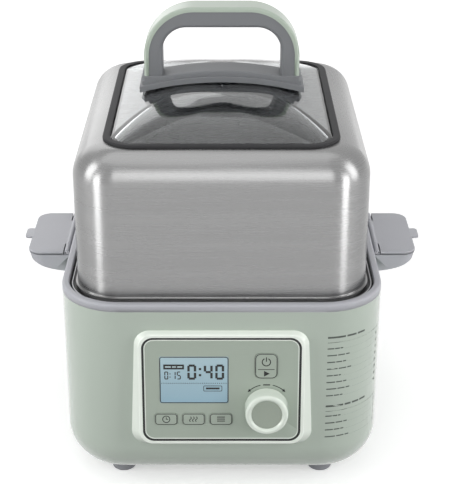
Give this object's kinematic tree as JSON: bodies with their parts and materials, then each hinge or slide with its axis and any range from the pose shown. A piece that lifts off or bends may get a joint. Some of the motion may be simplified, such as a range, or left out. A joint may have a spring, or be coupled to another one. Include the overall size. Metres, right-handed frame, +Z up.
{
  "type": "electric food steamer",
  "caption": "Table-top steamer: tub base with water tank and controls, tall steel hood with a glass window and bridge handle, and a hinged refill cup on each side.",
  "frame": {"origin": "on the table, under the middle of the overall footprint", "axes": "+X to the right, -Y towards the control panel, +Z up"},
  "size_m": [0.3488, 0.3305, 0.375],
  "materials": {
    "housing_green": "glossy",
    "trim_grey": "satin",
    "panel_light": "satin",
    "key_light": "satin",
    "steel_brushed": "brushed",
    "steel_tank": "satin",
    "steel_screw": "satin",
    "glass_clear": "polished",
    "display_glass": "clear",
    "rubber_dark": "matte",
    "rubber_grey": "matte",
    "aluminium_cast": "cast",
    "board_green": "matte",
    "plastic_black": "satin",
    "brass_pin": "plated"
  },
  "bodies": {
    "base": {"base_housing": "housing_green", "rim_collar": "trim_grey", "tank_seal": "rubber_dark", "water_tank": "steel_tank", "foot_front_left": "rubber_grey", "foot_front_right": "rubber_grey", "foot_rear_left": "rubber_grey", "foot_rear_right": "rubber_grey", "bottom_cover": "trim_grey", "control_bezel": "housing_green", "panel_gasket": "rubber_dark", "control_panel": "panel_light", "encoder_body": "plastic_black", "lcd_window": "display_glass", "lcd_module": "plastic_black", "control_board": "board_green", "button_switches": "plastic_black", "left_fill_spout": "trim_grey", "right_fill_spout": "trim_grey", "left_hinge_pin": "steel_screw", "right_hinge_pin": "steel_screw", "heater_plate": "aluminium_cast", "heating_element": "steel_screw", "heater_bracket": "steel_screw", "bracket_screws": "steel_screw", "thermostat": "plastic_black", "power_board": "board_green", "board_screws": "steel_screw", "power_inlet": "plastic_black", "inlet_pins": "brass_pin", "bottom_screws": "steel_screw", "foot_screws": "steel_screw", "wiring_harness": "plastic_black", "ribbon_cable": "rubber_grey"},
    "hood": {"hood_shell": "steel_brushed", "glass_gasket": "rubber_dark", "hood_glass": "glass_clear", "handle_base": "trim_grey", "handle_core": "trim_grey", "handle_shell": "housing_green", "handle_washers": "rubber_dark", "handle_screws": "steel_screw"},
    "tray": {"steam_tray": "steel_tank"},
    "left_flap": {"left_fill_flap": "trim_grey"},
    "right_flap": {"right_fill_flap": "trim_grey"},
    "knob": {"time_knob": "key_light", "encoder_shaft": "brass_pin"},
    "preset_key": {"preset_button": "key_light"},
    "warm_key": {"warm_button": "key_light"},
    "menu_key": {"menu_button": "key_light"},
    "start_key": {"start_button": "key_light"}
  },
  "joints": [
    {"name": "hood_lift", "type": "slide", "parent": "base", "child": "hood", "axis": [0, 0, 1], "range_m": [0, 0.2]},
    {"name": "tray_lift", "type": "slide", "parent": "base", "child": "tray", "axis": [0, 0, 1], "range_m": [0, 0.1]},
    {"name": "right_flap_hinge", "type": "hinge", "parent": "base", "child": "right_flap", "pos_m": [0.1342, 0.0124, 0.1672], "axis": [0, -1, 0], "range_deg": [0, 95]},
    {"name": "left_flap_hinge", "type": "hinge", "parent": "base", "child": "left_flap", "pos_m": [-0.1342, 0.0124, 0.1672], "axis": [0, 1, 0], "range_deg": [0, 95]},
    {"name": "knob_turn", "type": "hinge", "parent": "base", "child": "knob", "pos_m": [0.0362, -0.1493, 0.08394], "axis": [0, -0.9976, 0.0698], "continuous": true},
    {"name": "preset_press", "type": "slide", "parent": "base", "child": "preset_key", "axis": [0, 0.9976, -0.0698], "range_m": [0, 0.0008], "stiffness_N_per_m": 400},
    {"name": "warm_press", "type": "slide", "parent": "base", "child": "warm_key", "axis": [0, 0.9976, -0.0698], "range_m": [0, 0.0008], "stiffness_N_per_m": 400},
    {"name": "menu_press", "type": "slide", "parent": "base", "child": "menu_key", "axis": [0, 0.9976, -0.0698], "range_m": [0, 0.0008], "stiffness_N_per_m": 400},
    {"name": "start_press", "type": "slide", "parent": "base", "child": "start_key", "axis": [0, 0.9976, -0.0698], "range_m": [0, 0.0008], "stiffness_N_per_m": 400}
  ]
}
